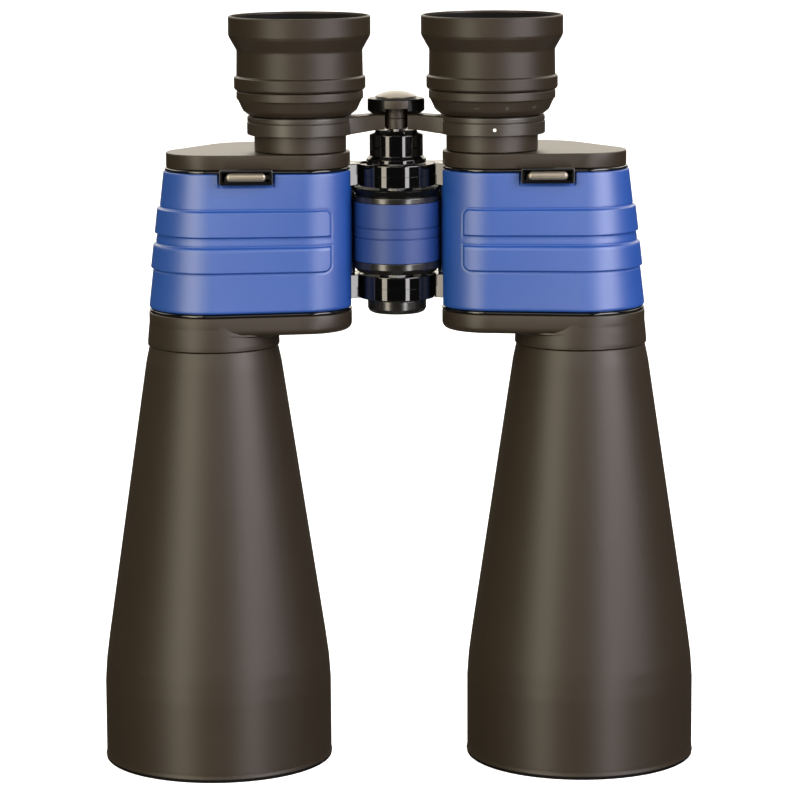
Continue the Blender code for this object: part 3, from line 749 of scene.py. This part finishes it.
def rounded_box_outline(half_width, half_height, corner, steps=6):
    """A rectangle outline with round corners, counter-clockwise."""
    points = []
    for index in range(4):
        turn = math.pi / 2 * index
        x_sign = 1 if index in (0, 3) else -1
        y_sign = 1 if index in (0, 1) else -1
        centre = Vector((x_sign * (half_width - corner), y_sign * (half_height - corner)))
        for step in range(steps + 1):
            angle = turn + math.pi / 2 * step / steps
            points.append(centre + Vector((math.cos(angle), math.sin(angle))) * corner)
    return points


def facing_front(name, outline, levels, centre):
    """Stack an outline along -Y; levels are (y, inset) and centre is (x, z)."""
    rings = []
    for y, inset in levels:
        rings.append([(centre[0] + p.x - inset * n.x, y, centre[1] + p.y - inset * n.y)
                      for p, n in outline])
    return loft(name, rings)


def make_lug(side, prefix):
    """The strap lug: a rounded frame with a pill-shaped bar standing proud of it."""
    node = prefix + "strap_lug"
    lug = Spot(node)
    middle = (lug.x, (lug.bottom + lug.top) / 2)
    front, back = lug.low.y, lug.high.y
    plate = with_normals(rounded_box_outline(lug.radius, (lug.top - lug.bottom) / 2, 0.9))
    fillet = 0.5
    levels = [(back, 0.2), (front + 1.0 + fillet, 0.0)]
    levels += [(front + 1.0 + fillet * (1 - s), fillet * (1 - c)) for s, c in quarter(first=1)]
    levels += [(front + 1.0, 1.0), (front + 1.5, 1.25), (front + 1.5, 2.0)]
    frame_piece = facing_front(prefix + "lug_frame", plate, levels, middle)
    stand_for(frame_piece, node)
    bar = with_normals(pill(5.8, 1.55))
    levels = [(front + 2.0, 0.0), (front + 1.0, 0.0)]
    levels += [(front + (1 - s), 1.35 * (1 - c)) for s, c in quarter(6, 1)]
    # The bar is drawn in pale metal as a painted highlight along it.
    bar_piece = facing_front(prefix + "lug_bar_painted_highlight", bar, levels, middle)
    stand_for(bar_piece, node, "lug_bar_painted_highlight", replace=False)


# -------------------- objective tubes

def make_objective(side, prefix):
    """The tapered tube, its rim and the achromatic doublet in its cell."""
    tube = Spot(prefix + "objective_tube")
    radius, bottom, top = tube.radius, tube.bottom, tube.top
    shoulder = top - 5.4
    outer = [(21.6, top, 0.3), (21.6, shoulder, 0.2), (24.0, shoulder, 0.5),
             (25.3, shoulder - 6.0, 30.0), (40.9, bottom + 44.1, 45.0),
             (42.1, bottom + 35.1, 30.0), (42.7, bottom + 26.6, 20.0),
             (radius - 0.28, bottom - 0.12, 0.05)]
    inner = [(41.2, bottom - 0.12, 0.05), (41.2, bottom + 24.6, 1.0), (39.2, bottom + 42.6, 3.0),
             (23.3, shoulder - 6.0, 3.0), (19.6, shoulder, 1.0), (19.6, top, 0.2)]
    turned(prefix + "tapered_tube", outer + inner, prefix + "objective_tube", tube.axis)
    rim = Spot(prefix + "objective_rim")
    edge = rim.bottom + 1.25
    ring = [(40.8, rim.top, 0.2), (40.8, rim.bottom + 3.26, 0.05),
            (rim.radius - 0.26, rim.bottom + 3.26, 0.03), (rim.radius - 0.26, edge + 1.3, 0.6),
            (rim.radius, edge + 0.15, 0.1), (rim.radius - 0.1, edge, 0.05), (37.0, edge, 0.3),
            (36.2, edge + 0.6, 0.3), (36.2, rim.top, 0.2)]
    turned(prefix + "rim_ring", ring, prefix + "objective_rim", rim.axis)
    # A near-black band round the rim's foot: painted shade along its lower edge.
    foot = [(rim.radius - 0.2, edge, 0.05), (rim.radius - 0.2, rim.bottom + 0.3, 0.2),
            (rim.radius - 0.6, rim.bottom, 0.15), (37.0, rim.bottom, 0.4), (37.0, edge, 0.1)]
    turned(prefix + "rim_foot", foot, prefix + "objective_rim", rim.axis, "shade_black", False)
    cell = Spot(prefix + "objective_cell")
    cup = [(cell.radius, cell.top, 0.3), (cell.radius, cell.bottom, 0.3),
           (36.6, cell.bottom, 0.3), (36.6, cell.top - 2.8, 0.3), (35.0, cell.top - 2.8, 0.3),
           (35.0, cell.top, 0.3)]
    turned(prefix + "lens_cell", cup, prefix + "objective_cell", cell.axis)
    ring = Spot(prefix + "objective_retaining_ring")
    band = [(ring.radius, ring.top, 0.2), (ring.radius, ring.bottom, 0.2),
            (34.8, ring.bottom, 0.6), (34.8, ring.top, 0.2)]
    turned(prefix + "lens_retainer", band, prefix + "objective_retaining_ring", ring.axis)
    make_lens(prefix, "objective_crown_lens", "crown", 3.0, 3.6)
    make_lens(prefix, "objective_flint_lens", "flint", -3.6, 0.0)


def make_lens(prefix, node, label, bulge_down, bulge_up):
    """A lens with domed faces; a negative bulge hollows its face."""
    lens = Spot(prefix + node)
    edge_bottom = lens.bottom + max(bulge_down, 0.0)
    edge_top = lens.top - max(bulge_up, 0.0)
    shares = [step / 16 for step in range(17)]
    corners = [(lens.radius * t, edge_top + bulge_up * (1 - t * t)) for t in shares]
    corners += [(lens.radius * t, edge_bottom - bulge_down * (1 - t * t))
                for t in reversed(shares)]
    stand_for(lathe(f"{prefix}{label}_glass", corners, lens.axis, steps=96), prefix + node)


# -------------------- eyepieces

def make_eyepiece(prefix, shell_node):
    """Barrel, shell or diopter ring, rubber eyecup and the lens barrel with its lenses."""
    barrel = Spot(prefix + "eyepiece_barrel")
    bore = 13.6
    step_z = barrel.bottom + 13.3
    outer = [(barrel.radius, barrel.top, 0.2), (barrel.radius, step_z, 0.25),
             (14.7, step_z, 0.2), (14.7, barrel.bottom, 0.3)]
    inner = [(bore, barrel.bottom, 0.3), (bore, barrel.top, 0.2)]
    turned(prefix + "sliding_barrel", outer + inner, prefix + "eyepiece_barrel", barrel.axis)

    shell = Spot(shell_node)
    r, top = shell.radius, shell.top
    outer = [(r - 0.25, top, 0.15), (r, top - 0.5, 0.3), (r, top - 3.0, 0.3),
             (r - 0.5, top - 3.45, 0.4), (r - 0.75, top - 3.9, 0.6), (r - 2.35, top - 7.4, 2.5),
             (r - 4.3, shell.bottom, 0.2)]
    inner = [(bore, shell.bottom, 0.2), (bore, top, 0.2)]
    turned(prefix + "eyepiece_ring", outer + inner, shell_node, shell.axis)

    cup = Spot(prefix + "eyecup")
    r, top, bottom = cup.radius, cup.top, cup.bottom
    outer = [(r - 0.3, top, 0.25), (r, top - 0.5, 0.4), (r, top - 6.9, 0.5),
             (r - 0.35, top - 7.9, 0.8), (r - 3.0, top - 12.6, 1.2), (r - 2.85, top - 22.0, 0.5),
             (r - 2.3, top - 22.25, 0.15), (r - 1.95, top - 22.6, 0.3),
             (r - 1.95, top - 26.5, 0.4), (r - 2.45, bottom, 0.2)]
    skin_depth = 0.35
    bowl = [(bore, bottom + 0.1, 0.2), (bore, top - 13.6, 0.6), (19.6, top - 11.4, 1.5),
            (22.2, top - 7.5, 2.5), (25.0, top - 0.6, 1.0)]
    inner = [(r + skin_depth, z - skin_depth, fillet) for r, z, fillet in bowl]
    lip = [(25.15, top - 0.75, 0.05), (25.35, top, 0.2)]
    turned(prefix + "fold_eyecup", outer + inner[:-1] + lip, prefix + "eyecup", cup.axis)
    # A near-black sheet over the bowl's inside: painted shade in the eyecup's hollow.
    back = [(r + skin_depth + 0.1, z - skin_depth - 0.1, fillet)
            for r, z, fillet in reversed(bowl)]
    turned(prefix + "eyecup_bowl", bowl + back, prefix + "eyecup", cup.axis, "shade_black", False)

    sleeve = Spot(prefix + "lens_barrel")
    r, top, bottom = sleeve.radius, sleeve.top, sleeve.bottom
    corners = [(r, top, 0.3), (r, bottom, 0.3), (10.2, bottom, 0.3), (10.2, bottom + 1.8, 0.2),
               (11.9, bottom + 1.8, 0.2), (11.9, top - 0.8, 0.1), (12.3, top, 0.2)]
    turned(prefix + "lens_sleeve", corners, prefix + "lens_barrel", sleeve.axis)
    make_lens(prefix, "field_lens", "field", 1.6, 1.2)
    make_lens(prefix, "eye_lens", "eye", 1.4, 2.0)


CLAMP_RADIUS = 19.65
CLAMP = (236.3, 243.1)
BEAM = (4.2, 18.6)        # x of the beam's ends
BEAM_LOW, BEAM_HIGH = 238.0, 243.8
EYE_SPLIT = 242.0         # the left eye is above it, the right one below
EYES = (238.0, 245.9)     # lowest and highest z of the two eyes
EYE_CLEARANCE = 0.06
WEB_PLACE = (4.3, 240.9)  # y and z of the web between an eye and its beam
INDEX_DOT_Z = 238.9


def make_clamp(side, prefix):
    """A bridge arm's clamp ring, with the fine groove under its upper lip."""
    radius = CLAMP_RADIUS
    bottom, top = CLAMP
    groove = top - 1.75
    ring = [(radius - 0.25, top, 0.2), (radius - 0.1, top - 0.5, 0.3), (radius - 0.1, groove, 0.15),
            (radius - 0.5, groove - 0.12, 0.05), (radius - 0.5, groove - 0.3, 0.05),
            (radius, groove - 0.45, 0.15), (radius, bottom + 0.3, 0.3),
            (radius - 0.45, bottom, 0.2), (17.3, bottom, 0.2), (17.3, top, 0.2)]
    turned(prefix + "clamp_ring", ring, prefix + "bridge_arm", (side * EYE_X, 0.0), "ring_paint")


def make_beam(side, prefix):
    """A bridge arm's bent beam, and the eye that joins it to the spindle."""
    node = prefix + "bridge_arm"
    rings = []
    for step in range(15):
        share = step / 14
        bend = ramp(share)
        low = BEAM_LOW - 1.55 * bend
        high = BEAM_HIGH - 0.95 * bend
        section = rounded_box_outline(5.0 + 2.4 * share ** 3, (high - low) / 2, 0.8, steps=5)
        x = BEAM[0] + (BEAM[1] - BEAM[0]) * share
        middle = (low + high) / 2
        rings.append([(side * x, p.x, middle + p.y) for p in section])
    stand_for(loft(prefix + "bridge_beam", rings), node)

    is_left = side < 0
    low = EYE_SPLIT + EYE_CLEARANCE if is_left else EYES[0]
    high = EYES[1] if is_left else EYE_SPLIT - EYE_CLEARANCE
    collar = [(4.1, high, 0.15), (4.1, low, 0.15), (2.2, low, 0.1), (2.2, high, 0.1)]
    turned(prefix + "bridge_eye", collar, node, steps=64)
    web = rounded_box_outline(0.7, 2.8, 0.2, steps=3)
    rings = [[(side * x, WEB_PLACE[0] + p.x, WEB_PLACE[1] + p.y) for p in web]
             for x in (2.7, 5.2)]
    stand_for(loft(prefix + "bridge_web", rings), node, replace=False)


def on_ring(radius_at, angle, z, across, up, lift):
    """A point on a turned surface, near a mark's centre: across and up are in millimetres."""
    height = z + up
    radius = radius_at(height) + lift
    turn = angle + across / radius
    return (radius * math.sin(turn), -radius * math.cos(turn), height)


def mark_piece(name, outlines, radius_at, angle, z, at, node, finish, lift=0.07):
    """Thin raised marks that follow a turned surface; each outline is a list of (across, up)."""
    bm = bmesh.new()
    for outline in outlines:
        rows = []
        for height in (-0.25, lift):
            rows.append([bm.verts.new(on_ring(radius_at, angle, z, a, u, height))
                         for a, u in outline])
        skin(bm, rows[0], rows[1])
        bm.faces.new(rows[0])
        bm.faces.new(rows[1])
    stand_for(make_object(name, bm, at), node, finish, replace=False)


def dash(half_length, half_width, upright=False):
    """A short stroke as a round-ended outline."""
    points = [(p.x, p.y) for p in pill(half_length - half_width, half_width, 6)]
    return [(-y, x) for x, y in points] if upright else points


def circle(radius, steps=20):
    """A round outline."""
    angles = [2 * math.pi * step / steps for step in range(steps)]
    return [(radius * math.cos(angle), radius * math.sin(angle)) for angle in angles]


def make_diopter_marks():
    """Minus, zero and plus round the diopter ring, and the white index dot under them."""
    ring = Spot("diopter_ring")
    top_z, low_z = ring.top - 3.9, ring.top - 7.4
    top_r, low_r = ring.radius - 0.75, ring.radius - 2.35

    def taper(z):
        return low_r + (top_r - low_r) * (z - low_z) / (top_z - low_z)

    middle = (top_z + low_z) / 2
    spread = math.radians(30)
    zero = math.radians(12.5)
    marks = (("minus", [dash(1.1, 0.2)]), ("zero", [circle(0.65)]),
             ("plus", [dash(1.1, 0.2), dash(0.9, 0.2, upright=True)]))
    for place, (label, outlines) in enumerate(marks, -1):
        mark_piece(f"diopter_{label}", outlines, taper, zero + place * spread, middle,
                   ring.axis, "diopter_ring", "mark_paint")
    mark_piece("diopter_index_dot", [circle(0.62)], lambda z: CLAMP_RADIUS, math.radians(0.5),
               INDEX_DOT_Z, (EYE_X, 0.0), "right_bridge_arm", "white_paint", lift=0.05)


# -------------------- hinge, wheel and bridge cap

def make_hinge():
    """The column from the upper ears to the bridge, and the screw cap under the hinge."""
    column = Spot("hinge_column")
    flare, bottom, top = column.radius, column.bottom, column.top
    radius = 9.9
    outer = [(7.6, top, 0.15), (8.1, top - 0.9, 0.15), (radius, top - 1.5, 0.12),
             (radius, bottom + 2.6, 0.15), (flare, bottom + 1.4, 0.15), (flare, bottom, 0.15)]
    inner = [(HINGE_BORE, bottom, 0.1), (HINGE_BORE, bottom + 7.8, 0.1),
             (3.4, bottom + 7.8, 0.1), (3.4, top, 0.3)]
    turned("column_sleeve", outer + inner, "hinge_column")
    cap = Spot("tripod_socket_cap")
    r, bottom, top = cap.radius, cap.bottom, cap.top
    seat = bottom + 5.3
    corners = [(0.0, top), (2.9, top, 0.3), (2.9, seat, 0.2), (r - 0.25, seat, 0.25),
               (r, seat - 0.5, 0.3), (r, bottom + 1.7, 0.8), (r - 0.7, bottom + 0.5, 0.8),
               (r - 1.8, bottom, 0.8), (0.0, bottom)]
    stand_for(lathe("tripod_cap", corners), "tripod_socket_cap", "satin_black")


WHEEL_GROOVES = (202.1, 198.3)


def make_wheel():
    """The focus wheel: its flange, its drum and its grooved blue sleeve."""
    drum = Spot("focus_drum")
    grip = Spot("focus_grip")
    r, bottom, top = drum.radius, drum.bottom, drum.top
    flange = [(r - 0.5, top, 0.2), (r, top - 0.4, 0.2), (r - 0.8, top - 2.6, 0.1),
              (r - 0.8, top - 3.2, 0.1), (HINGE_BORE, top - 3.2, 0.1), (HINGE_BORE, top, 0.2)]
    turned("wheel_flange", flange, "focus_drum", finish="disc_black")
    outer = [(r - 0.9, top - 2.7, 0.1), (r - 0.1, top - 3.0, 0.25), (r - 0.1, grip.top + 0.1, 0.15),
             (13.2, grip.top + 0.1, 0.1), (13.2, grip.bottom - 0.1, 0.1),
             (r, grip.bottom - 0.1, 0.15), (r, bottom + 1.8, 0.5), (14.4, bottom, 0.3)]
    inner = [(HINGE_BORE, bottom, 0.2), (HINGE_BORE, bottom + 3.5, 0.1), (8.6, bottom + 3.5, 0.1),
             (8.6, top - 8.4, 0.1), (6.35, top - 8.4, 0.1), (6.35, top - 2.7, 0.2)]
    turned("wheel_drum", outer + inner, "focus_drum", finish="satin_black")
    r = grip.radius
    outer = [(r, grip.top, 0.25)]
    for groove in WHEEL_GROOVES:
        outer += [(r, groove + 0.3, 0.08), (r - 0.35, groove + 0.1, 0.05),
                  (r - 0.35, groove - 0.1, 0.05), (r, groove - 0.3, 0.08)]
    outer.append((r, grip.bottom, 0.25))
    inner = [(13.5, grip.bottom, 0.1), (13.5, grip.top, 0.1)]
    # The sleeve uses the darker rubber as painted shade between the housings.
    turned("wheel_sleeve", outer + inner, "focus_grip", finish="shaded_wheel_rubber")


def make_bridge_cap():
    """The disc over the bridge with its front slot, the satin key in it, and the domed plate."""
    disc = Spot("bridge_cap")
    r, bottom, top = disc.radius, disc.bottom, disc.top
    corners = [(0.0, top), (r - 0.35, top, 0.2), (r, top - 0.4, 0.2), (r, bottom + 0.9, 0.3),
               (r - 1.0, bottom, 0.3), (0.0, bottom)]
    cap = lathe("cap_disc", corners)
    cut_slot(cap, half_width=4.2, front=-15.0, low=bottom - 2.0, high=bottom + 2.1)
    stand_for(cap, "bridge_cap", "disc_black")
    key_low, key_high = bottom + 2.0, top - 0.35
    section = [(r - 0.9, key_low), (r + 0.02, key_low), (r + 0.08, key_low + 0.25),
               (r + 0.08, key_high - 0.25), (r + 0.02, key_high), (r - 0.9, key_high)]
    half_turn = math.asin(4.3 / r)
    rings = []
    for step in range(17):
        turn = half_turn * (step / 8 - 1)
        rings.append([(out * math.sin(turn), -out * math.cos(turn), z) for out, z in section])
    key = loft("cap_key", rings)
    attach(key, BODY_OF["bridge_cap"])
    key.data.materials.append(MATERIALS["satin_paint"])

    plate = Spot("bridge_cap_plate")
    r, bottom, top = plate.radius, plate.bottom, plate.top
    dome = []
    for step in range(13):
        share = step / 12
        dome.append((r * share, bottom + 0.45 + (top - bottom - 0.45) * (1 - share ** 2.2)))
    dome += [(r, bottom, 0.1), (0.0, bottom)]
    stand_for(lathe("cap_dome", dome), "bridge_cap_plate")


def cut_slot(obj, half_width, front, low, high):
    """Cut an open-bottomed slot with a round end from the front of a disc."""
    outline = [Vector((half_width, front)), Vector((half_width, 0.0))]
    for step in range(1, 16):
        angle = math.pi * step / 16
        outline.append(Vector((half_width * math.cos(angle), half_width * math.sin(angle))))
    outline += [Vector((-half_width, 0.0)), Vector((-half_width, front))]
    rings = [[(p.x, p.y, z) for p in outline] for z in (low, high)]
    cut_away(obj, loft("slot_tool", rings))


# -------------------- build

for side, prefix in ((-1, "left_"), (1, "right_")):
    make_objective(side, prefix)
    make_armor(side, prefix)
    make_housing(side, prefix)
    make_covers(side, prefix)
    make_lug(side, prefix)
    make_clamp(side, prefix)
    make_beam(side, prefix)
make_eyepiece("left_", "left_eyepiece_shell")
make_eyepiece("right_", "diopter_ring")
make_diopter_marks()
make_hinge()
make_wheel()
make_bridge_cap()

for name, obj in frame["nodes"].items():
    obj.data.materials.clear()
    obj.data.materials.append(MATERIALS[SLOT_OF[name]])


# -------------------- stage, light and camera

def make_floor():
    """A wide white floor that only the camera sees; it neither lights nor mirrors."""
    bm = bmesh.new()
    bmesh.ops.create_grid(bm, x_segments=1, y_segments=1, size=30.0)
    mesh = bpy.data.meshes.new("floor")
    bm.to_mesh(mesh)
    bm.free()
    material = bpy.data.materials.new("floor_white")
    material.use_nodes = True
    graph = Graph(material.node_tree)
    graph.feed(graph.nodes["Principled BSDF"],
               {"Base Color": (0.9, 0.9, 0.9, 1.0), "Roughness": 0.9, "Specular IOR Level": 0.1,
                "Emission Color": (1.0, 1.0, 1.0, 1.0), "Emission Strength": 0.75})
    floor = bpy.data.objects.new("floor", mesh)
    bpy.context.scene.collection.objects.link(floor)
    floor.data.materials.append(material)
    floor.visible_glossy = False
    floor.visible_diffuse = False
    floor.visible_shadow = False


def softbox(name, azimuth, distance, width, height, centre_z, radiance, color):
    """An upright soft light that faces the hinge axis; azimuth 0 is the camera's side."""
    data = bpy.data.lights.new(name, "AREA")
    data.shape = "RECTANGLE"
    data.size = width
    data.size_y = height
    data.energy = radiance * math.pi * width * height
    data.color = color
    light = bpy.data.objects.new(name, data)
    angle = math.radians(azimuth)
    light.location = (distance * math.sin(angle), -distance * math.cos(angle), centre_z)
    light.rotation_euler = (math.pi / 2, 0.0, angle)
    light.visible_camera = False
    bpy.context.scene.collection.objects.link(light)


PALE_GREY = (0.8, 0.8, 0.8)


def make_world():
    """White surroundings for the camera, a graded fill, and a bright backdrop in reflections."""
    world = bpy.data.worlds.new("studio")
    bpy.context.scene.world = world
    world.use_nodes = True
    nodes = world.node_tree.nodes
    nodes.clear()
    graph = Graph(world.node_tree)
    rays = nodes.new("ShaderNodeLightPath").outputs
    place = nodes.new("ShaderNodeTexCoord")
    split = nodes.new("ShaderNodeSeparateXYZ")
    graph.links.new(place.outputs["Generated"], split.inputs["Vector"])
    height = split.outputs["Z"]
    sideways = graph.combine("ABSOLUTE", split.outputs["X"])

    narrow = graph.ramp(sideways, 0.32, 0.52, 1.0, 0.0)
    behind = graph.ramp(split.outputs["Y"], 0.05, 0.30)
    above = graph.ramp(height, -0.04, 0.04)
    high_up = graph.ramp(height, 0.25, 0.50)
    upper_half = graph.combine("MULTIPLY", behind, above)
    panel = graph.combine("MULTIPLY", upper_half, graph.combine("MAXIMUM", narrow, high_up))
    backdrop = graph.background((1.0, 0.93, 0.80), graph.ramp(height, 0.12, 0.32, 1.15, 3.2))
    dim = graph.background(PALE_GREY, graph.ramp(height, -0.60, -0.30, 0.25, 0.02))
    reflected = graph.blend(panel, dim, backdrop)

    sides_brighter = graph.ramp(sideways, 0.35, 0.90, 0.20, 0.75)
    lit_from_above = graph.ramp(height, -0.45, 0.05, 0.15, 1.0)
    fill = graph.background(PALE_GREY, graph.combine("MULTIPLY", sides_brighter, lit_from_above))
    with_fill = graph.blend(rays["Is Diffuse Ray"], reflected, fill)
    seen = graph.background((1.0, 1.0, 1.0))
    final = graph.blend(rays["Is Camera Ray"], with_fill, seen)
    graph.links.new(final, nodes.new("ShaderNodeOutputWorld").inputs["Surface"])


CAMERA_ROLL = math.radians(-0.30)


def make_camera():
    """The photograph's view: a long lens, a little above the eyecups."""
    data = bpy.data.cameras.new("camera")
    data.lens = 158.1
    data.sensor_width = 36.0
    camera = bpy.data.objects.new("camera", data)
    camera.location = (-0.015, -1.300, 0.3558)
    target = Vector((0.0009, 0.0, 0.1360))
    camera.rotation_euler = (target - camera.location).to_track_quat("-Z", "Y").to_euler()
    camera.rotation_euler.rotate_axis("Z", CAMERA_ROLL)
    bpy.context.scene.collection.objects.link(camera)
    bpy.context.scene.camera = camera


make_floor()
softbox("left_softbox", -40, 1.0, 0.66, 1.15, 0.745, 5.2, (1.0, 0.92, 0.72))
softbox("right_softbox", 53, 1.0, 0.60, 1.15, 0.745, 8.4, (1.0, 0.95, 1.0))
softbox("front_softbox", 0, 1.0, 0.60, 0.50, 0.58, 2.6, (1.0, 0.95, 0.90))
softbox("left_strip", -39, 1.0, 0.27, 0.62, -0.14, 7.0, (1.0, 0.90, 0.74))
softbox("right_strip", 32, 1.0, 0.21, 0.62, -0.14, 8.0, (1.0, 0.96, 0.97))
make_world()
make_camera()
bpy.context.scene.view_settings.view_transform = "Standard"
bpy.context.scene.view_settings.look = "None"
